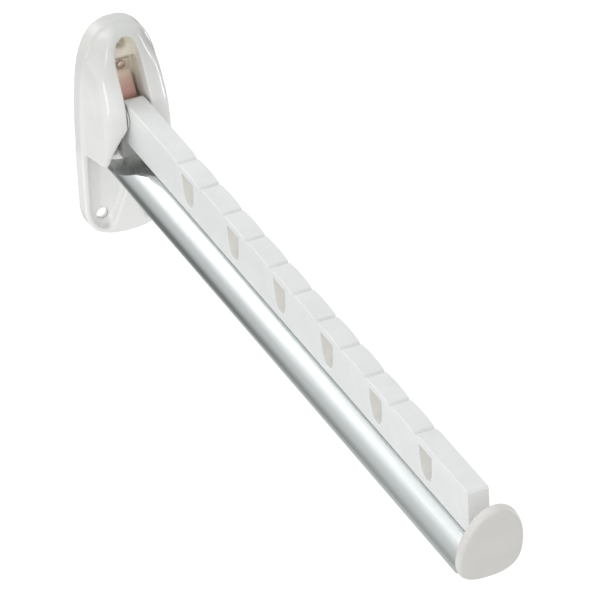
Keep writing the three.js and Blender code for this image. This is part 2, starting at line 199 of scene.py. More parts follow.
def relax(body, voxel, passes, factor=0.5):
    """Rebuilds the skin as small even squares and lets it settle, which rounds every edge."""
    skin = body.modifiers.new("skin", "REMESH")
    skin.mode, skin.voxel_size = "VOXEL", voxel
    ease = body.modifiers.new("ease", "SMOOTH")
    ease.factor, ease.iterations = factor, passes
    return settle(body)


# %% Plates with rounded edges
def plate(name, kind, outlines, low, high, rounding, steps=3):
    """A flat part cut from outlines, the first outside and the rest holes, with rolled edges."""
    line = bpy.data.curves.new(name, "CURVE")
    line.dimensions, line.fill_mode = "2D", "BOTH"
    line.extrude = (high - low) / 2 - rounding
    line.bevel_depth, line.bevel_resolution, line.offset = rounding, steps, -rounding
    for outline in outlines:
        spline = line.splines.new("POLY")
        spline.points.add(len(outline) - 1)
        for knot, p in zip(spline.points, outline):
            knot.co = (p.x, p.y, 0, 1)
        spline.use_cyclic_u = True
    drawn = new_piece(name + "_drawn", line)
    bpy.context.view_layer.update()
    mesh = bpy.data.meshes.new_from_object(drawn.evaluated_get(bpy.context.evaluated_depsgraph_get()))
    middle = (low + high) / 2
    points = [in_row(kind, v.co.x, v.co.y, v.co.z + middle) for v in mesh.vertices]
    faces = [tuple(p.vertices) for p in mesh.polygons]
    bpy.data.objects.remove(drawn)
    bpy.data.meshes.remove(mesh)
    return mesh_piece(name, points, faces)


# %% Turned parts
def turned(name, profile, steps=48):
    """A lathe part about +Z from (radius, height) points, closed on the axis or as a ring."""
    ring = profile[0][0] > 0
    points, faces = [], []
    for r, z in profile:
        points += [(r * math.cos(t), r * math.sin(t), z) for t in
                   (2 * math.pi * k / steps for k in range(steps))]
    rows = len(profile)
    for i in range(rows if ring else rows - 1):
        a, b = i * steps, ((i + 1) % rows) * steps
        faces += [(a + k, a + (k + 1) % steps, b + (k + 1) % steps, b + k) for k in range(steps)]
    return mesh_piece(name, points, faces)


def turn_to(piece, axis, centre):
    """Turns a lathe part from +Z to an axis and puts it in place."""
    turn = Vector((0, 0, 1)).rotation_difference(Vector(axis)).to_matrix().to_4x4()
    piece.data.transform(Matrix.Translation(Vector(centre)) @ turn)
    return piece


# %% Lofts
def loft(rings):
    """Points and side faces of a skin through equal rings of points."""
    n = len(rings[0])
    points = [p for ring in rings for p in ring]
    faces = []
    for base in range(0, (len(rings) - 1) * n, n):
        faces += [(base + k, base + (k + 1) % n, base + n + (k + 1) % n, base + n + k) for k in range(n)]
    return points, faces


# %% Handing a piece over
def hand_over(piece, body, slot, *nodes, sharp=35, weighted=True):
    """Scales a finished piece to metres, smooths its shading and rides it on its body."""
    piece.data.transform(Matrix.Scale(MM, 4))
    for face in piece.data.polygons:
        face.use_smooth = True
    piece.data.set_sharp_from_angle(angle=math.radians(sharp))
    if weighted:
        even = piece.modifiers.new("even_shading", "WEIGHTED_NORMAL")
        even.keep_sharp = True
    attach(piece, body)
    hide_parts(*nodes)
    size = [round(d / MM, 1) for d in piece.dimensions]
    print(f"{piece.name}: {len(piece.data.polygons)} faces, {size} mm, rides on {body}")
    return piece


# %% [markdown]
# ## The bracket shell
# On the real bracket one glossy moulding holds everything: a shallow plate that the wall screws
# go through, and two cheeks that swell out from it to hold the hinge. Subdivision modelling could
# give such a form, but its slot, flare and dishes would fight the control cage. So the cheeks are
# stacked from level sections, like the lines of a ship, and the hollows are carved out. Then the
# whole is remeshed and relaxed, which rounds the edges as the mould does.

# %% The bracket's front view
BRACKET_TOP, BRACKET_BOTTOM = 47.3, -47.2
CHEEK_BOTTOM = -8.0
RIM_DEPTH = 7.0
SLOT_HALF = 5.3
SLOT_TOP = 44.4
PIVOT_OUT, PIVOT_UP = 21.4, 13.4
WALL = 2.2


def bracket_front(inset=0.0):
    top, bottom = BRACKET_TOP - inset, BRACKET_BOTTOM + inset
    return mirrored(draw(
        (0, bottom),
        [(10.5 - inset, bottom), (18 - inset, -44 + inset), (18.2 - inset, -34)],
        [(18.2 - inset, -15), (18.2 - inset, 2), (17.1 - inset, 16)],
        [(16 - inset, 31), (13.6 - inset, top + 0.3), (0, top)]))


# %% Level sections through the cheeks
# each row: up, half width at the wall, where the side folds into the face (across, out), front
CHEEK_SECTIONS = [
    (CHEEK_BOTTOM, 18.1, 14.2, 19.4, 21.4), (-5, 18.1, 14.0, 21.0, 23.4), (0, 18.0, 13.8, 22.3, 25.0),
    (6, 17.9, 13.7, 22.4, 25.4), (14, 17.5, 13.6, 21.8, 25.4), (19, 17.1, 13.5, 20.4, 24.9),
    (23, 16.7, 13.4, 18.6, 23.4), (30, 15.6, 13.2, 14.8, 19.9), (34.5, 14.6, 12.9, 9.0, 17.7),
    (38, 13.1, 12.4, 4.0, 16.3), (41, 12.1, 11.7, 1.2, 15.3), (44.2, 9.4, 9.1, 0.6, 14.6),
    (45.8, 7.0, 6.8, 0.4, 12.6), (46.7, 4.6, 4.5, 0.3, 9.0), (BRACKET_TOP, 2.0, 1.9, 0.2, 2.5)]
LEVELS_BETWEEN = 5


def smooth_rows(rows, between):
    """Rows with smooth ones added between them, so that the stack has no facets."""
    def blended(a, b, c, d, t):
        square, cube = 2 * a - 5 * b + 4 * c - d, 3 * b - a - 3 * c + d
        return 0.5 * (2 * b + (c - a) * t + square * t ** 2 + cube * t ** 3)

    result = []
    for k in range(len(rows) - 1):
        near = [rows[max(k - 1, 0)], rows[k], rows[k + 1], rows[min(k + 2, len(rows) - 1)]]
        for step in range(between):
            result.append([blended(*values, step / between) for values in zip(*near)])
    return result + [list(rows[-1])]


def cheek_ring(row, inset):
    up, wall, across, fold_out, front = row
    corner, fold = (wall - inset, 0), (across - inset, max(fold_out - inset * 0.6, 0.05))
    nose = (min(SLOT_HALF, fold[0] / 2), front - inset)
    half = draw((0, -1), [(corner[0], -1)], [corner],
                [((corner[0] + fold[0]) / 2 + 0.5, fold[1] / 2), fold],
                [(max(fold[0] - 2.2, nose[0]), nose[1] - 0.2), nose], [(0, nose[1])], fine=10)
    height = up - inset * 0.9 if up > 0 else up + inset
    return [in_row(PLAN, p.x, p.y, height) for p in mirrored(half)]


def stack(name, rings):
    """Equal rings of points joined into a closed solid."""
    points, faces = loft(rings)
    n = len(rings[0])
    ends = [tuple(range(n)), tuple(range(len(points) - n, len(points)))]
    return mesh_piece(name, points, faces + ends)


def bracket_body(inset, name="tool"):
    rows = smooth_rows(CHEEK_SECTIONS, LEVELS_BETWEEN)
    body = stack(name, [cheek_ring(row, inset) for row in rows])
    carve(body, prism(FRONT, bracket_front(inset), 0, 36), how="INTERSECT")
    return carve(body, prism(FRONT, bracket_front(inset), 0, RIM_DEPTH), how="UNION")


shell = bracket_body(0, "shell_moulding")
print("bracket body roughed out:", len(shell.data.polygons), "faces")

# %% [markdown]
# ### Slot, flare and dishes
# The slot takes the folded rail, and its upper end steps out to a boss for the top screw. The
# cheeks' lower inner edges flare so that the wide channel can pass. Beside a middle land the
# lower plate is dished. Each is one drawn outline, pushed through and cut away.

# %% Slot, flare and dishes
SLOT_FLOOR, BOSS_FLOOR, BOSS_BOTTOM = 7.5, 10.5, 33.0
DISH_FLOOR = 3.6
SLOT_VIEW = [(SLOT_FLOOR, -9), (40, -9), (40, SLOT_TOP), (BOSS_FLOOR, SLOT_TOP),
             (BOSS_FLOOR, BOSS_BOTTOM), (SLOT_FLOOR, BOSS_BOTTOM - 0.8)]
FLARE_HALF = [(0, 10), (5.3, 9.6), (8.4, 5.2), (10.9, 0.3), (12, -4), (12.5, -9.5), (0, -9.5)]


def dish(side):
    outline = draw(
        (1, CHEEK_BOTTOM - 1), [(15.4, CHEEK_BOTTOM - 1)], [(16, -33)],
        [(15.8, -40), (13, -43.4), (9.4, -43.9)], [(7.4, -44), (6.6, -42.2)], [(1, -29.3)])
    return prism(FRONT, [Vector((side * p.x, p.y)) for p in outline], DISH_FLOOR, 20)


slot = prism(SIDE, [Vector(p) for p in SLOT_VIEW], -SLOT_HALF, SLOT_HALF)
slot_front = mirrored(draw((0, -12), [(SLOT_HALF, -12)], [(SLOT_HALF, 30)],
                           [(SLOT_HALF - 0.1, 36.5), (4.7, SLOT_TOP - 0.5), (0, SLOT_TOP - 0.5)]))
carve(slot, prism(FRONT, slot_front, 0, 45), how="INTERSECT")
flare = prism(FRONT, mirrored([Vector(p) for p in FLARE_HALF]), 13, 40)
carve(shell, slot, flare, dish(1), dish(-1))
print("carved:", len(shell.data.polygons), "faces")

# %% [markdown]
# ### The hollow back and the screw holes
# A moulding has an even wall, so it is hollow behind: a room inside each cheek and one behind the
# slot, with blind sockets for the hinge pin. The three screw holes get countersinks, because a
# screw head has to lie below the surface.

# %% Hollow back
BACK_RECESS = 1.8
PIN_RADIUS, SOCKET_DEPTH = 2.2, 9.2
GAP = 0.3


def rear_rooms():
    low = CHEEK_BOTTOM + WALL
    rooms = bracket_body(WALL)
    carve(rooms, block(-30, 30, BACK_RECESS - 1, 40, low, 39), how="INTERSECT")
    pin_walls = prism(SIDE, circle(PIVOT_OUT, PIVOT_UP, PIN_RADIUS + 2.4), -14, 14)
    carve(rooms, block(-7.3, 7.3, -1, 40, -60, 60), pin_walls, block(-15.8, 15.8, 10.8, 40, -20, 11.5))
    behind_slot = block(-5.3, 5.3, BACK_RECESS - 1, SLOT_FLOOR - WALL, low, 30.5)
    return carve(rooms, behind_slot, how="UNION")


recess = prism(FRONT, bracket_front(WALL), -1, BACK_RECESS)
sockets = prism(SIDE, circle(PIVOT_OUT, PIVOT_UP, PIN_RADIUS + GAP), -SOCKET_DEPTH, SOCKET_DEPTH)
carve(shell, recess, rear_rooms(), sockets)
print("hollowed:", len(shell.data.polygons), "faces")

# %% Countersunk screw holes
LOWER_SCREW = (9.7, -39.0)
UPPER_SCREW_UP = 38.7
HOLE, COUNTERSINK = 2.2, 3.7


def screw_hole(x, up, floor):
    depth = COUNTERSINK - HOLE
    profile = [(0, -2), (HOLE, -2), (HOLE, floor - depth),
               (COUNTERSINK, floor), (COUNTERSINK, floor + 6), (0, floor + 6)]
    return turn_to(turned("tool", profile), (0, -1, 0), (x, 0, up))


carve(shell, screw_hole(0, UPPER_SCREW_UP, BOSS_FLOOR),
      screw_hole(-LOWER_SCREW[0], LOWER_SCREW[1], DISH_FLOOR),
      screw_hole(LOWER_SCREW[0], LOWER_SCREW[1], DISH_FLOOR))
relax(shell, 0.42, 16)
print("shell skin:", len(shell.data.polygons), "faces")

# %% [markdown]
# ## The cover behind the bracket
# A thin plate closes the hollow back against the wall. It is flat with rolled edges, so it is cut
# as a plate from its outline with three holes, not carved. Shallow pockets in a moulded cover
# save material, so its rear face gets a grid of them.

# %% Rear cover
BACK_PLATE = 1.5
cover_holes = [circle(0, UPPER_SCREW_UP, HOLE + 0.2)]
cover_holes += [circle(s * LOWER_SCREW[0], LOWER_SCREW[1], HOLE + 0.2) for s in (-1, 1)]
cover = plate("rear_cover", FRONT, [bracket_front(WALL + GAP), *cover_holes], 0, BACK_PLATE, 0.25)
POCKET_HALF, POCKET_DEPTH = (4.5, 5.0), 0.6
POCKET_ACROSS, FIRST_POCKET, POCKET_PITCH, POCKET_ROWS = 6.2, -28, 13.5, 5
for column in (-1, 1):
    for row in range(POCKET_ROWS):
        centre, up = column * POCKET_ACROSS, FIRST_POCKET + row * POCKET_PITCH
        left, right = centre - POCKET_HALF[0], centre + POCKET_HALF[0]
        low, high = up - POCKET_HALF[1], up + POCKET_HALF[1]
        square = draw((left, low), [(right, low)], [(right, high)], [(left, high)])
        carve(cover, plate("tool", FRONT, [square], -1, POCKET_DEPTH, 0.3))
print("rear cover:", len(cover.data.polygons), "faces")

# %% [markdown]
# ## The notched rail
# Clothes hangers sit in the notches along the top of the rail, and the windows below lighten the
# moulding. Seen from the side it is one flat outline with six windows and the bore for the hinge,
# so it is cut as a plate with rolled edges, which gives every window its soft rim.

# %% Rail outline
RAIL_HALF = 4.3
RAIL_TOP, RAIL_BOTTOM, RAIL_END = 19.7, 1.08, 327.0
KNUCKLE = RAIL_TOP - PIVOT_UP
NOTCH_PITCH, NOTCH_COUNT, FIRST_NOTCH = 21.14, 11, 71.2
NOTCH_DEPTH, NOTCH_HALF, PAD_DROP = 2.1, 1.1, 0.7


def rail_outline():
    low = RAIL_TOP - PAD_DROP
    strokes = [[(RAIL_END, RAIL_BOTTOM)], [(RAIL_END, RAIL_TOP - 0.8)], [(RAIL_END - 0.8, RAIL_TOP)]]
    for index in reversed(range(NOTCH_COUNT)):
        notch = FIRST_NOTCH + index * NOTCH_PITCH
        if index == NOTCH_COUNT - 1:
            strokes += [[(notch + 5, RAIL_TOP)], [(notch + NOTCH_HALF, low)]]
        else:
            strokes += [[(notch + NOTCH_PITCH / 2, RAIL_TOP + PAD_DROP), (notch + NOTCH_HALF, low)]]
        strokes += [[(notch, RAIL_TOP - NOTCH_DEPTH)], [(notch - NOTCH_HALF, low)]]
    strokes += [[(FIRST_NOTCH - 5, RAIL_TOP)], [(PIVOT_OUT, RAIL_TOP)]]
    outline = draw((PIVOT_OUT - KNUCKLE + 1.5, RAIL_BOTTOM), *strokes, fine=10)
    knuckle = [math.pi / 2 + math.pi / 2 * k / 12 for k in range(1, 13)]
    centre = Vector((PIVOT_OUT, PIVOT_UP))
    outline += [centre + KNUCKLE * Vector((math.cos(t), math.sin(t))) for t in knuckle]
    return outline + [Vector((PIVOT_OUT - KNUCKLE, RAIL_BOTTOM + 1.5))]


WINDOW_TOP, WINDOW_BOTTOM, WINDOW_HALF = 16.5, 4.4, 5.4
WINDOWS = [80.4 + 2 * NOTCH_PITCH * k for k in range(6)]


def window_outline(out):
    waist = WINDOW_TOP - 5.2
    return draw(
        (out - WINDOW_HALF, WINDOW_TOP), [(out - WINDOW_HALF + 0.3, waist)],
        [(out - WINDOW_HALF + 0.6, 7), (out - 3, WINDOW_BOTTOM), (out, WINDOW_BOTTOM)],
        [(out + 3, WINDOW_BOTTOM), (out + WINDOW_HALF - 0.6, 7), (out + WINDOW_HALF - 0.3, waist)],
        [(out + WINDOW_HALF, WINDOW_TOP)], fine=14)


# %% Rail with its foot
holes = [window_outline(out) for out in WINDOWS] + [circle(PIVOT_OUT, PIVOT_UP, 3.7)]
rail = plate("notched_rail", SIDE, [rail_outline(), *holes], -RAIL_HALF, RAIL_HALF, 0.4)
FOOT_START, FOOT_BOTTOM = 53.0, -4.6
FOOT_HALF, FOOT_TOP, NECK_HALF = 6.2, -2.2, 3.5
foot_half = draw((0, FOOT_BOTTOM), [(FOOT_HALF, FOOT_BOTTOM)], [(FOOT_HALF, FOOT_TOP)], [(NECK_HALF, FOOT_TOP)],
                 [(NECK_HALF, RAIL_BOTTOM + 1)], [(0, RAIL_BOTTOM + 1)])
foot = plate("foot", FRONT, [mirrored(foot_half)], FOOT_START, RAIL_END - 3, 0.2)
carve(rail, foot, how="UNION")
print("rail:", len(rail.data.polygons), "faces")

# %% [markdown]
# ## The aluminium channel
# The channel is an extrusion: one drop-shaped section with an open mouth, pushed out of a die and
# sawn off. Its root is cut to a long bevel and its tip to a slope that matches the cap. A section
# swept in straight lines is exactly that, and each point's start and end come from its height.

# %% Channel section
CHANNEL_START, CHANNEL_BOTTOM, CHANNEL_WALL = 8.3, -14.4, 1.3
MOUTH = 3.8
# each row: up, how far out the channel's root starts there
ROOT_BEVEL = [(-10.8, CHANNEL_START), (-10.3, 13.4), (-9.4, 19.4), (-6.6, 29.6), (-1.6, 39.8), (1.05, 49.4)]
CAP_LEAN = math.radians(18)
CAP_FRONT, CAP_THICKNESS = 337.5, 4.2


def channel_half(inset, lip):
    bottom = CHANNEL_BOTTOM + inset
    return draw(
        (0, bottom),
        [(5.5 - inset, bottom), (9.6 - inset, -13.2 + inset), (11.4 - inset, -10.6 + inset * 0.6)],
        [(12.6 - inset, -8.6), (12.4 - inset, -6.4), (10.9 - inset, -4 - inset * 0.3)],
        [(9.4 - inset, -1.7 - inset * 0.7), (7.2 - inset, 0.2 - inset), (lip, 1 - inset)],
        [(MOUTH, 1 - inset)])


def root_at(up):
    """How far out the channel's root starts at this height."""
    for (low, start), (high, end) in zip(ROOT_BEVEL, ROOT_BEVEL[1:]):
        if low <= up <= high:
            return start + (end - start) * (up - low) / (high - low)
    return ROOT_BEVEL[0][1] if up < ROOT_BEVEL[0][0] else ROOT_BEVEL[-1][1]


def cap_plane_at(up, behind):
    """How far out the leaning plane lies, this far behind the cap's front face."""
    return CAP_FRONT - behind / math.cos(CAP_LEAN) + up * math.tan(CAP_LEAN)


# %% Channel
outer, inner = channel_half(0, 5), channel_half(CHANNEL_WALL, 4)
outer = [Vector((-p.x, p.y)) for p in reversed(outer[1:])] + outer
inner = [Vector((-p.x, p.y)) for p in reversed(inner[1:])] + inner
section = outer + inner[::-1]
RINGS = 24
rings = []
for k in range(RINGS + 1):
    share = k / RINGS
    ring = []
    for p in section:
        start, end = root_at(p.y), cap_plane_at(p.y, CAP_THICKNESS + GAP)
        ring.append((p.x, -(start + (end - start) * share), p.y))
    rings.append(ring)
points, faces = loft(rings)
count, half_count = len(section), len(outer)
for base in (0, RINGS * count):
    far_side = base + count - 1
    faces += [(base + k, base + k + 1, far_side - 1 - k, far_side - k) for k in range(half_count - 1)]
channel = mesh_piece("drop_channel", points, faces)
deburr = channel.modifiers.new("deburr", "BEVEL")
deburr.width, deburr.segments = 0.18, 2
deburr.limit_method, deburr.angle_limit = "ANGLE", math.radians(35)
settle(channel)
print("channel:", len(channel.data.polygons), "faces")

# %% [markdown]
# ## The tip cap
# A plastic cap closes the channel's tip and stands up in front of the rail, so hangers don't
# slide off. It is an egg-shaped plate that leans outward, with a plug behind it. Rings of its
# outline, each a little smaller and further back, give its faint dome and its rolled edge.

# %% Cap plate
CAP_HALF, CAP_UP, CAP_DOWN, CAP_WIDEST = 12.6, 24.2, 13.1, -3.0
BLUNTNESS = 2.6
EDGE = 1.5
CAP_STEPS = 96


def egg(inset):
    points = []
    for k in range(CAP_STEPS):
        angle = 2 * math.pi * k / CAP_STEPS
        c, s = math.cos(angle), math.sin(angle)
        power = 2 / BLUNTNESS if s < 0 else 1
        height = CAP_DOWN if s < 0 else CAP_UP
        across = (CAP_HALF - inset) * math.copysign(abs(c) ** power, c)
        points.append(Vector((across, (height - inset) * math.copysign(abs(s) ** power, s))))
    return points


def cap_ring(inset, depth, scale=1.0):
    """The outline as a ring in the leaning plate, this deep behind its front."""
    lean = Matrix.Rotation(CAP_LEAN, 3, "X")
    ring = []
    for p in egg(inset):
        flat = Vector((p.x * scale, depth, CAP_WIDEST + p.y * scale))
        ring.append(lean @ flat + Vector((0, -CAP_FRONT, 0)))
    return ring


dome = 0.4
rings = [cap_ring(EDGE, dome * s ** 2, s) for s in (0.5, 0.66, 0.8, 0.92, 1.0)]
for k in range(1, 9):
    turn = math.pi / 2 * k / 8
    rings.append(cap_ring(EDGE * (1 - math.sin(turn)), dome + (EDGE - 0.2) * (1 - math.cos(turn))))
back = CAP_THICKNESS
for k in range(0, 7):
    turn = math.pi / 2 * k / 6
    rings.append(cap_ring(0.9 * (1 - math.cos(turn)), back - 0.9 * (1 - math.sin(turn))))
cap = stack("tip_cap", rings)
print("cap plate:", len(cap.data.polygons), "faces")

# %% Cap plug
def whole_section(inset, lip):
    half = channel_half(inset, lip)[:-1]
    return [Vector((-p.x, p.y)) for p in reversed(half[1:])] + half


INTO_PLATE = CAP_THICKNESS - 0.6
slope = [(cap_plane_at(-30, INTO_PLATE), -30), (400, -30), (400, 30), (cap_plane_at(30, INTO_PLATE), 30)]
plug = prism(FRONT, whole_section(CHANNEL_WALL + GAP, 2.6), RAIL_END - 16, 340)
carve(plug, block(-20, 20, 0, RAIL_END - 2.5, -5.2, 10), block(-20, 20, 0, 400, -1.6, 10),
      prism(SIDE, [Vector(p) for p in slope], -30, 30),
      prism(FRONT, whole_section(CHANNEL_WALL + 2.4, 2), RAIL_END - 17, RAIL_END - 4))
carve(cap, plug, how="UNION")
print("cap with plug:", len(cap.data.polygons), "faces")

# %% [markdown]
# ## Spring, pad and hinge parts
# Inside the slot an arched bronze leaf presses on the rail's knuckle and holds the arm up, and a
# soft pad takes the heel of the rail when it is down. The pin, bushes and screws are turned parts,
# so they are made on a lathe: a profile spun about an axis, with each edge broken by a chamfer.

# %% Leaf and pad
LEAF_THICKNESS, LEAF_HALF = 0.5, 3.8
leaf_line = draw((8.4, 31), [(8.4, 26.6)], [(8.4, 25), (9.8, 23.4)],
                 [(13.2, 19.4), (16.0, 15.4), (13.2, 10.6)], [(12.4, 9.2), (11.2, 8.2)], fine=16)
leaf_back = []
for k, p in enumerate(leaf_line):
    before, after = leaf_line[max(k - 1, 0)], leaf_line[min(k + 1, len(leaf_line) - 1)]
    along = (after - before).normalized()
    leaf_back.append(p + Vector((along.y, -along.x)) * LEAF_THICKNESS)
leaf = plate("detent_leaf_spring", SIDE, [leaf_line + leaf_back[::-1]], -LEAF_HALF, LEAF_HALF, 0.12, steps=1)
PAD_FRONT, PAD_BOTTOM, PAD_TOP = 14.8, -9.6, 6
pad_line = draw((SLOT_FLOOR + GAP, PAD_BOTTOM), [(PAD_FRONT - 1.5, PAD_BOTTOM)],
                [(PAD_FRONT, PAD_BOTTOM), (PAD_FRONT, PAD_BOTTOM + 1.5)], [(PAD_FRONT, PAD_TOP - 0.9)],
                [(PAD_FRONT, PAD_TOP), (PAD_FRONT - 0.9, PAD_TOP)], [(SLOT_FLOOR + GAP, PAD_TOP)], fine=8)
pad = plate("heel_pad", SIDE, [pad_line], -4, 4, 0.6)
print("leaf", len(leaf.data.polygons), "pad", len(pad.data.polygons), "faces")

# %% Pin and bushes
PIN_END = 8.9
pin_profile = [(0, -PIN_END), (1.4, -PIN_END), (1.8, -PIN_END + 0.1),
               (2.1, -PIN_END + 0.4), (PIN_RADIUS, -PIN_END + 0.8)]
pin_profile += [(r, -z) for r, z in reversed(pin_profile)]
pin = turn_to(turned("pivot_pin", pin_profile), (1, 0, 0), (0, -PIVOT_OUT, PIVOT_UP))


def bush(side, name):
    bore = PIN_RADIUS + 0.08
    profile = [(bore, 1.2), (3.25, 1.2), (3.4, 1.35), (3.4, 4.6), (4.3, 4.6),
               (4.4, 4.7), (4.4, 4.9), (4.3, 5.0), (bore + 0.1, 5.0), (bore, 4.9)]
    return turn_to(turned(name, profile), (side, 0, 0), (0, -PIVOT_OUT, PIVOT_UP))


bush_left, bush_right = bush(-1, "bush_left"), bush(1, "bush_right")
print("hinge parts turned")

# %% Screws
def cross_recess(size, depth, at):
    thin = 0.32
    level = block(-size, size, at - depth, at + 3, -thin, thin)
    upright = block(-thin, thin, at - depth, at + 3, -size, size)
    return carve(level, upright, how="UNION")


def pan_head_screw(name, radius, height, shank, length, slot_size):
    """A screw along its own axis: head above zero, shank below, with a cross recess."""
    crown = [(radius * math.cos(t), 0.25 * height + 0.75 * height * math.sin(t)) for t in
             (math.pi / 2 * k / 8 for k in range(9))]
    profile = [(0, -length), (shank * 0.5, -length), (shank, -length + 0.6), (shank, 0),
               (radius, 0), *crown[:-1], (0, height)]
    screw = turned(name, profile)
    recess = cross_recess(slot_size, 0.8, height)
    recess.data.transform(Matrix.Rotation(-math.pi / 2, 4, "X"))
    return carve(screw, recess)


LEAF_SCREW_AT, CHANNEL_SCREW_OUT = (0, -8.7, 28.8), 61.0
leaf_screw = turn_to(pan_head_screw("spring_screw", 1.9, 1.0, 1.0, 0.9, 1.1), (0, -1, 0), LEAF_SCREW_AT)
lock_screw = turn_to(pan_head_screw("locking_screw", 2.7, 1.4, 1.2, 8.4, 1.6), (0, 0, -1),
                     (0, -CHANNEL_SCREW_OUT, CHANNEL_BOTTOM))
print("screws", len(leaf_screw.data.polygons), len(lock_screw.data.polygons), "faces")

# %% Every piece rides on its body
hand_over(shell, "bracket", "bracket_plastic", "bracket_shell", sharp=60, weighted=False)
hand_over(cover, "bracket", "bracket_plastic", "back_plate")
hand_over(pin, "bracket", "steel", "hinge_pin")
hand_over(leaf, "bracket", "spring_bronze", "detent_leaf")
hand_over(leaf_screw, "bracket", "steel", "leaf_screw")
hand_over(pad, "bracket", "stop_rubber", "stop_pad")
hand_over(rail, "arm", "rail_plastic", "hanger_rail")
hand_over(channel, "arm", "anodised", "arm_channel")
hand_over(cap, "arm", "cap_plastic", "end_cap")
hand_over(lock_screw, "arm", "steel", "channel_screw")
hand_over(bush_left, "arm", "nylon", "pivot_bush_left")
hand_over(bush_right, "arm", "nylon", "pivot_bush_right")

# %% [markdown]
# ## Finishes
# Several finishes share the same small effects, so each effect is a node group with named inputs
# and outputs, built once. A group gives only masks, values and heights. The shader stays in the
# material, where each finish mixes the effects with its own values.

# %% Node helpers
def add(tree, kind, settings=None, **inputs):
    """A node. Inputs are named sockets, with _ for a space and i0, i1 for numbered ones."""
    made = tree.nodes.new(kind)
    for name, value in (settings or {}).items():
        setattr(made, name, value)
    for name, value in inputs.items():
        numbered = name[0] == "i" and name[1:].isdigit()
        socket = made.inputs[int(name[1:])] if numbered else made.inputs[name.replace("_", " ")]
        if isinstance(value, bpy.types.NodeSocket):
            tree.links.new(value, socket)
        else:
            socket.default_value = value
    return made


def maths(tree, operation, a, b=0.0, clamp=False):
    settings = {"operation": operation, "use_clamp": clamp}
    return add(tree, "ShaderNodeMath", settings, i0=a, i1=b).outputs[0]


def product(tree, first, *others):
    for other in others:
        first = maths(tree, "MULTIPLY", first, other)
    return first


def noise(tree, where, scale, **settings):
    return add(tree, "ShaderNodeTexNoise", Vector=where, Scale=scale, **settings).outputs[0]


def place_on(tree):
    """Where a point lies on its piece."""
    return add(tree, "ShaderNodeTexCoord").outputs["Object"]


def axes_of(tree, vector):
    return add(tree, "ShaderNodeSeparateXYZ", Vector=vector).outputs


def ranged(tree, value, low, high, to_low=0.0, to_high=1.0):
    """A smooth ramp from one value at low to another at high. Low may be the larger of the two."""
    return add(tree, "ShaderNodeMapRange", {"interpolation_type": "SMOOTHSTEP"}, Value=value,
               From_Min=low, From_Max=high, To_Min=to_low, To_Max=to_high).outputs["Result"]


def new_group(name, inputs, outputs):
    group = bpy.data.node_groups.new(name, "ShaderNodeTree")
    for title, kind, value in inputs:
        socket = group.interface.new_socket(title, in_out="INPUT", socket_type=kind)
        socket.default_value = value
    for title in outputs:
        group.interface.new_socket(title, in_out="OUTPUT", socket_type="NodeSocketFloat")
    return group, group.nodes.new("NodeGroupInput").outputs, group.nodes.new("NodeGroupOutput").inputs


FLOAT = "NodeSocketFloat"
MM_IN_METRE = 1000.0

# %% [markdown]
# ### Moulded grain
# A mould leaves a very fine grain and faint broad clouds where the plastic flowed. Two noises of
# different size give both: the fine one as height, the broad one to vary colour and gloss.

# %% Moulded grain group
moulded_grain, into, out_of = new_group(
    "Moulded grain", [("Grain Size", FLOAT, 0.5), ("Cloud Size", FLOAT, 14.0)], ["Height", "Cloud"])
where = place_on(moulded_grain)
fine_scale = maths(moulded_grain, "DIVIDE", MM_IN_METRE, into["Grain Size"])
cloud_scale = maths(moulded_grain, "DIVIDE", MM_IN_METRE, into["Cloud Size"])
fine_noise = noise(moulded_grain, where, fine_scale, Detail=2.0)
cloud_noise = noise(moulded_grain, where, cloud_scale, Detail=3.0, Distortion=0.4)
moulded_grain.links.new(fine_noise, out_of["Height"])
moulded_grain.links.new(ranged(moulded_grain, cloud_noise, 0.3, 0.7), out_of["Cloud"])

# %% [markdown]
# ### Edge wear
# Handled edges polish and lighten, and hollows are tinted darker. Pointiness tells how sharply
# the surface bends outward or inward, and a noise makes the wear patchy.

# %% Edge wear group
BENT_OUT, BENT_IN = 0.53, 0.47
WEAR_PATCHES = 160.0
edge_wear, into, out_of = new_group(
    "Edge wear", [("Reach", FLOAT, 0.06), ("Patchiness", FLOAT, 0.5)], ["Edge", "Hollow"])
bend = add(edge_wear, "ShaderNodeNewGeometry").outputs["Pointiness"]
patches = noise(edge_wear, place_on(edge_wear), WEAR_PATCHES, Detail=4.0)
patch_gap = maths(edge_wear, "SUBTRACT", 1.0, ranged(edge_wear, patches, 0.35, 0.65))
held_back = product(edge_wear, into["Patchiness"], patch_gap)
kept = maths(edge_wear, "SUBTRACT", 1.0, held_back, clamp=True)
outward = ranged(edge_wear, bend, BENT_OUT, maths(edge_wear, "ADD", BENT_OUT, into["Reach"]))
inward = ranged(edge_wear, bend, BENT_IN, maths(edge_wear, "SUBTRACT", BENT_IN, into["Reach"]))
edge_wear.links.new(product(edge_wear, outward, kept), out_of["Edge"])
edge_wear.links.new(inward, out_of["Hollow"])
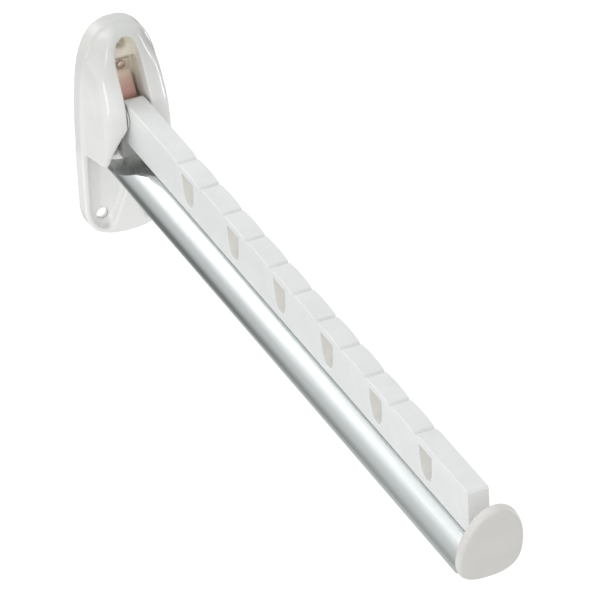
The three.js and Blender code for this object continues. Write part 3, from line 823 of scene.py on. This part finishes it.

# %% [markdown]
# ### Painted light by place
# Light doesn't reach all of a moulding alike, so it is painted in by place: the top of the bracket
# gets painted shade, its lower plate painted light, and the slot a warm cream painted light that
# stands in for light bounced about inside it. Ramps along the height and the depth give those masks.

# %% Painted light by place group
painted_light_place, into, out_of = new_group(
    "Painted light by place", [("Slot Half", FLOAT, 0.0057), ("Slot Depth", FLOAT, 0.016)],
    ["Top", "Painted Lift", "Slot"])
axes = axes_of(painted_light_place, place_on(painted_light_place))
aside = maths(painted_light_place, "ABSOLUTE", axes["X"])
from_wall = maths(painted_light_place, "MULTIPLY", axes["Y"], -1.0)
slot_side = maths(painted_light_place, "SUBTRACT", into["Slot Half"], 0.0004)
slot_deep = maths(painted_light_place, "SUBTRACT", into["Slot Depth"], 0.005)
# the slot mask, where warm painted light stands in for light bounced about inside the slot
in_slot = product(
    painted_light_place,
    ranged(painted_light_place, aside, into["Slot Half"], slot_side),
    ranged(painted_light_place, from_wall, 0.003, 0.005),
    ranged(painted_light_place, from_wall, into["Slot Depth"], slot_deep),
    ranged(painted_light_place, axes["Z"], 0.002, 0.012),
    ranged(painted_light_place, axes["Z"], 0.0435, 0.0425))
# painted shade toward the bracket's top
painted_light_place.links.new(ranged(painted_light_place, axes["Z"], 0.016, 0.040), out_of["Top"])
# painted light toward the bottom of the lower plate
painted_light_place.links.new(ranged(painted_light_place, axes["Z"], -0.004, -0.012), out_of["Painted Lift"])
painted_light_place.links.new(in_slot, out_of["Slot"])

# %% [markdown]
# ### Inside the windows
# The walls inside the rail's windows get painted shade, a little darker and warmer than its faces.
# The mask keeps to what lies under the rail's skin, below its top and before its end.

# %% Inside windows group
inside_windows, into, out_of = new_group("Inside windows", [("Skin", FLOAT, 0.0039)], ["Mask"])
axes = axes_of(inside_windows, place_on(inside_windows))
aside = maths(inside_windows, "ABSOLUTE", axes["X"])
under_skin = maths(inside_windows, "SUBTRACT", into["Skin"], 0.0005)
inside = product(
    inside_windows,
    ranged(inside_windows, aside, into["Skin"], under_skin),
    ranged(inside_windows, axes["Z"], 0.0176, 0.0170),
    ranged(inside_windows, axes["Y"], -0.3015, -0.3005))
inside_windows.links.new(inside, out_of["Mask"])

# %% [markdown]
# ### Settled dust
# Dust settles in patches on faces that look up. The upward part of the normal holds it off the
# sides, and a rough noise breaks it up.

# %% Settled dust group
settled_dust, into, out_of = new_group(
    "Settled dust", [("Amount", FLOAT, 0.2), ("Patch Size", FLOAT, 9.0)], ["Mask"])
facing = add(settled_dust, "ShaderNodeNewGeometry").outputs["Normal"]
upward = ranged(settled_dust, axes_of(settled_dust, facing)["Z"], 0.35, 0.95)
patch_scale = maths(settled_dust, "DIVIDE", MM_IN_METRE, into["Patch Size"])
patches = noise(settled_dust, place_on(settled_dust), patch_scale, Detail=5.0, Roughness=0.65)
lying = product(settled_dust, upward, ranged(settled_dust, patches, 0.35, 0.75))
dust = maths(settled_dust, "MULTIPLY", lying, into["Amount"], clamp=True)
settled_dust.links.new(dust, out_of["Mask"])

# %% [markdown]
# ### Drawn lines
# A die leaves fine straight lines along an extrusion. The same noise, squeezed across and
# stretched along the arm, gives lines of many widths.

# %% Drawn lines group
STREAKS_PER_LINE = 0.12
drawn_lines, into, out_of = new_group(
    "Drawn lines", [("Line Width", FLOAT, 0.25), ("Stretch", FLOAT, 0.004)], ["Lines", "Streaks"])
axes = axes_of(drawn_lines, place_on(drawn_lines))
along = maths(drawn_lines, "MULTIPLY", axes["Y"], into["Stretch"])
stretched = add(drawn_lines, "ShaderNodeCombineXYZ", X=axes["X"], Y=along, Z=axes["Z"]).outputs[0]
line_scale = maths(drawn_lines, "DIVIDE", MM_IN_METRE, into["Line Width"])
streak_scale = maths(drawn_lines, "MULTIPLY", line_scale, STREAKS_PER_LINE)
lines = noise(drawn_lines, stretched, line_scale, Detail=3.0)
streaks = noise(drawn_lines, stretched, streak_scale, Detail=2.0)
drawn_lines.links.new(lines, out_of["Lines"])
drawn_lines.links.new(ranged(drawn_lines, streaks, 0.3, 0.7), out_of["Streaks"])

# %% Starting a material
def new_material(name):
    material = bpy.data.materials.new(name)
    material.use_nodes = True
    tree = material.node_tree
    tree.nodes.clear()
    shader = add(tree, "ShaderNodeBsdfPrincipled")
    output = add(tree, "ShaderNodeOutputMaterial")
    tree.links.new(shader.outputs[0], output.inputs["Surface"])
    return material, tree, shader


def effect(tree, group, **values):
    return add(tree, "ShaderNodeGroup", {"node_tree": group}, **values).outputs


def tinted(tree, mask, a, b):
    """Colour a where the mask is 0 and colour b where it is 1."""
    return add(tree, "ShaderNodeMix", {"data_type": "RGBA"}, i0=mask, i6=a, i7=b).outputs[2]


def feed(tree, shader, **sockets):
    for name, value in sockets.items():
        socket = shader.inputs[name.replace("_", " ")]
        if isinstance(value, bpy.types.NodeSocket):
            tree.links.new(value, socket)
        else:
            socket.default_value = value


# %% [markdown]
# ### White mouldings
# The bracket, rail and cap are the same family of plastic in slightly different whites. The
# bracket is glossiest, the rail a little cooler and the cap warmer and more satin. One function
# makes them all from a few numbers, and the nylon bushes and the soft pad too.

# %% Plastic finishes
# painted shade that greys the bracket's top
TOP_PAINTED_SHADE = (0.62, 0.625, 0.60, 1)
# painted light that whitens the bracket's lower plate
LOW_PAINTED_LIGHT = (0.90, 0.90, 0.88, 1)
# warm painted light for the slot, standing in for light bounced inside it
SLOT_PAINTED_LIGHT = (0.93, 0.87, 0.75, 1)
# painted shade for the walls inside the rail's windows
WINDOW_PAINTED_SHADE = (0.78, 0.765, 0.72, 1)
DUST_GREY = (0.62, 0.60, 0.56, 1)
WORN_WHITE = (0.86, 0.86, 0.84, 1)
GRAIN_DEPTH = 0.00004


def moulded_plastic(name, colour, shade, crease_tint, roughness, grain, bump, dust,
                    wear=0.5, painted_by_place=0.0, windows=0.0):
    material, tree, shader = new_material(name)
    surface = effect(tree, moulded_grain, Grain_Size=grain, Cloud_Size=14.0)
    worn = effect(tree, edge_wear, Reach=0.05, Patchiness=0.6)
    dusty = effect(tree, settled_dust, Amount=dust, Patch_Size=9.0)["Mask"]
    body = tinted(tree, surface["Cloud"], colour, shade)
    # painted shade on the bracket's top, painted light on its lower plate, warm painted light in the slot
    if painted_by_place:
        place = effect(tree, painted_light_place)
        for mask, painted in [("Top", TOP_PAINTED_SHADE), ("Painted Lift", LOW_PAINTED_LIGHT), ("Slot", SLOT_PAINTED_LIGHT)]:
            body = tinted(tree, product(tree, place[mask], painted_by_place), body, painted)
    # painted shade on the walls inside the windows
    if windows:
        inner = effect(tree, inside_windows)["Mask"]
        body = tinted(tree, product(tree, inner, windows), body, WINDOW_PAINTED_SHADE)
    # concave creases are tinted darker
    body = tinted(tree, product(tree, worn["Hollow"], 0.35), body, crease_tint)
    body = tinted(tree, dusty, body, DUST_GREY)
    body = tinted(tree, product(tree, worn["Edge"], wear * 0.4), body, WORN_WHITE)
    clouded = ranged(tree, surface["Cloud"], 0, 1, roughness, roughness + 0.07)
    gloss = maths(tree, "ADD", clouded, product(tree, dusty, 0.5))
    gloss = maths(tree, "SUBTRACT", gloss, product(tree, worn["Edge"], 0.06))
    relief = add(tree, "ShaderNodeBump", Strength=bump, Distance=GRAIN_DEPTH, Height=surface["Height"])
    feed(tree, shader, Base_Color=body, Roughness=gloss, Normal=relief.outputs[0], IOR=1.47)
    return material


bracket_white = moulded_plastic(
    "bracket_white", (0.80, 0.80, 0.785, 1), (0.765, 0.765, 0.745, 1), crease_tint=(0.55, 0.52, 0.44, 1),
    roughness=0.17, grain=0.45, bump=0.25, dust=0.10, painted_by_place=0.9)
cover_white = moulded_plastic(
    "cover_white", (0.78, 0.78, 0.765, 1), (0.74, 0.74, 0.725, 1), crease_tint=(0.55, 0.52, 0.44, 1),
    roughness=0.34, grain=0.45, bump=0.3, dust=0.05)
rail_white = moulded_plastic(
    "rail_white", (0.78, 0.79, 0.785, 1), (0.75, 0.76, 0.75, 1), crease_tint=(0.52, 0.51, 0.46, 1),
    roughness=0.36, grain=0.35, bump=0.4, dust=0.14, windows=0.9)
cap_white = moulded_plastic(
    "cap_white", (0.69, 0.675, 0.65, 1), (0.66, 0.645, 0.62, 1), crease_tint=(0.50, 0.48, 0.43, 1),
    roughness=0.33, grain=0.4, bump=0.35, dust=0.08)
nylon_white = moulded_plastic(
    "nylon", (0.70, 0.69, 0.64, 1), (0.66, 0.65, 0.60, 1), crease_tint=(0.45, 0.43, 0.38, 1),
    roughness=0.5, grain=0.3, bump=0.4, dust=0.05)
pad_grey = moulded_plastic(
    "pad_rubber", (0.72, 0.715, 0.70, 1), (0.66, 0.655, 0.64, 1), crease_tint=(0.14, 0.13, 0.12, 1),
    roughness=0.75, grain=0.25, bump=0.8, dust=0.05, wear=0.1)
print("plastic finishes made")

# %% [markdown]
# ### Drawn and sprung metal
# Anodising leaves a satin, slightly cool skin over fine die lines, so highlights stretch along
# the channel. Lines and streaks move the roughness and a very shallow bump, anisotropy pulls the
# reflections sideways, and the channel dulls toward its tip. The spring is bronze, and its foot,
# deep in the slot, is painted redder and darker as warm painted shade.

# %% Metal finishes
WORN_METAL = (0.92, 0.92, 0.92, 1)
LINE_DEPTH = 0.00002


def drawn_metal(name, colour, streak, roughness, line_width, bump,
                anisotropy=0.0, duller=0.0, foot_painted_shade=None):
    material, tree, shader = new_material(name)
    along = effect(tree, drawn_lines, Line_Width=line_width, Stretch=0.004)
    worn = effect(tree, edge_wear, Reach=0.06, Patchiness=0.4)
    place = axes_of(tree, place_on(tree))
    body = tinted(tree, along["Streaks"], colour, streak)
    # painted warm shade that reddens and darkens the leaf's foot, deep in the slot
    if foot_painted_shade:
        body = tinted(tree, ranged(tree, place["Z"], 0.0265, 0.0195), body, foot_painted_shade)
    body = tinted(tree, product(tree, worn["Edge"], 0.35), body, WORN_METAL)
    lined = ranged(tree, along["Lines"], 0.25, 0.75, roughness - 0.04, roughness + 0.05)
    gloss = maths(tree, "ADD", lined, ranged(tree, place["Y"], -0.06, -0.30, 0.0, duller))
    relief = add(tree, "ShaderNodeBump", Strength=bump, Distance=LINE_DEPTH, Height=along["Lines"])
    feed(tree, shader, Base_Color=body, Metallic=1.0, Roughness=gloss,
         Normal=relief.outputs[0], Anisotropic=anisotropy)
    return material


satin_aluminium = drawn_metal(
    "satin_anodised", (0.60, 0.625, 0.62, 1), (0.545, 0.575, 0.57, 1),
    roughness=0.30, line_width=0.22, bump=0.5, anisotropy=0.25, duller=0.16)
zinc_steel = drawn_metal(
    "zinc_steel", (0.66, 0.67, 0.68, 1), (0.58, 0.59, 0.61, 1),
    roughness=0.28, line_width=0.12, bump=0.3)
spring_bronze = drawn_metal(
    "spring_bronze", (0.88, 0.76, 0.64, 1), (0.82, 0.68, 0.57, 1),
    roughness=0.55, line_width=0.15, bump=0.4, foot_painted_shade=(0.66, 0.40, 0.35, 1))
bronzed_steel = drawn_metal(
    "bronzed_steel", (0.78, 0.68, 0.58, 1), (0.70, 0.59, 0.50, 1),
    roughness=0.5, line_width=0.12, bump=0.3)
print("metal finishes made")

# %% Every piece wears its finish
for piece, finish in [
        (shell, bracket_white), (cover, cover_white), (rail, rail_white), (cap, cap_white),
        (channel, satin_aluminium), (pin, zinc_steel), (lock_screw, zinc_steel),
        (leaf, spring_bronze), (leaf_screw, bronzed_steel), (pad, pad_grey),
        (bush_left, nylon_white), (bush_right, nylon_white)]:
    piece.data.materials.clear()
    piece.data.materials.append(finish)
    print(piece.name, "wears", finish.name)

# %% [markdown]
# ## The studio
# A plain pale floor lies well below the arm, and the light is soft from every side. What the
# metal mirrors is set apart from what lights the plastic: the floor has a darker band toward the
# wall, which gives the channel its dark lower edge, and a high panel there gives its white band.
# The floor is one-sided, so views from below still see the object.

# %% Floor
FLOOR_UP = -0.5
FLOOR_HALF = 20.0
PURE_WHITE = (1, 1, 1, 1)
SEEN_WHITE = 1.05
floor_mesh = bpy.data.meshes.new("studio_floor")
corners = [(x * FLOOR_HALF, y * FLOOR_HALF, FLOOR_UP) for x, y in ((-1, -1), (1, -1), (1, 1), (-1, 1))]
floor_mesh.from_pydata(corners, [], [(0, 1, 2, 3)])
floor = new_piece("studio_floor", floor_mesh)
floor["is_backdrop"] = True

paper, tree, shader = new_material("pale_floor")
tree.nodes.remove(shader)
rays = add(tree, "ShaderNodeLightPath").outputs
place = add(tree, "ShaderNodeNewGeometry").outputs["Position"]
towards_wall = axes_of(tree, place)["Y"]
darkening = ranged(tree, towards_wall, 0.34, 0.66, 0.85, 0.17)
far_glow = ranged(tree, towards_wall, 1.0, 3.2, 0.0, 0.5)
shade = maths(tree, "ADD", darkening, far_glow)


def glow(tree, colour, strength):
    return add(tree, "ShaderNodeEmission", Color=colour, Strength=strength).outputs[0]


def either(tree, test, if_not, if_so):
    return add(tree, "ShaderNodeMixShader", Fac=test, i1=if_not, i2=if_so).outputs[0]


mirrored_floor = glow(tree, (0.96, 1.0, 0.99, 1), shade)
fill = glow(tree, PURE_WHITE, 0.72)
lit = glow(tree, PURE_WHITE, SEEN_WHITE)
indirect = either(tree, rays["Is Glossy Ray"], fill, mirrored_floor)
top_side = either(tree, rays["Is Camera Ray"], indirect, lit)
clear = add(tree, "ShaderNodeBsdfTransparent").outputs[0]
behind = add(tree, "ShaderNodeNewGeometry").outputs["Backfacing"]
both = either(tree, behind, top_side, clear)
tree.links.new(both, tree.nodes["Material Output"].inputs["Surface"])
floor_mesh.materials.append(paper)
print("floor at", FLOOR_UP, "m")

# %% World
world = bpy.data.worlds.new("studio_world")
world.use_nodes = True
bpy.context.scene.world = world
tree = world.node_tree
tree.nodes.clear()
direction = add(tree, "ShaderNodeTexCoord").outputs["Generated"]
tone = ranged(tree, axes_of(tree, direction)["Z"], -0.2, 0.8, 0.80, 0.93)
soft = add(tree, "ShaderNodeBackground", Color=(0.985, 0.995, 1.0, 1), Strength=tone).outputs[0]
white = add(tree, "ShaderNodeBackground", Color=PURE_WHITE, Strength=SEEN_WHITE).outputs[0]
seen = add(tree, "ShaderNodeLightPath").outputs["Is Camera Ray"]
mixed = either(tree, seen, soft, white)
tree.links.new(mixed, add(tree, "ShaderNodeOutputWorld").inputs["Surface"])


# %% [markdown]
# ### Soft panels
# Two narrow strips give the cheeks their highlights. The wall panel and the small root panel make
# the white band along the metal, and the front panel fills in. None of them is seen directly, and
# all aim at the middle of the arm.

# %% Soft panels
MIDDLE_OF_ARM = Vector((0.0, -0.17, 0.0))


def soft_panel(name, place, size, power):
    light = bpy.data.lights.new(name, "AREA")
    light.shape = "RECTANGLE"
    light.size, light.size_y = size
    light.energy = power
    panel = bpy.data.objects.new(name, light)
    panel.location = place
    panel.rotation_mode = "QUATERNION"
    panel.rotation_quaternion = (MIDDLE_OF_ARM - Vector(place)).to_track_quat("-Z", "Y")
    panel.visible_camera = False
    bpy.context.scene.collection.objects.link(panel)


soft_panel("left_strip", (-1.5, -0.80, 0.10), (0.13, 0.9), 5.0)
soft_panel("right_strip", (1.5, 0.11, -0.15), (0.16, 0.6), 3.2)
soft_panel("wall_panel", (-0.47, 0.60, 0.60), (0.60, 0.40), 1.7)
soft_panel("root_panel", (-0.43, 0.72, 0.34), (0.24, 0.24), 0.25)
soft_panel("front_panel", (-1.1, -1.8, 0.15), (1.1, 1.0), 3.0)
bpy.context.scene.view_settings.view_transform = "Standard"
bpy.context.scene.view_settings.look = "None"
print("five soft panels and a pale world")

# %% Sizes, then the end
low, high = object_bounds()
print("visual box in mm", [round(v / MM, 2) for v in (*low, *high)])
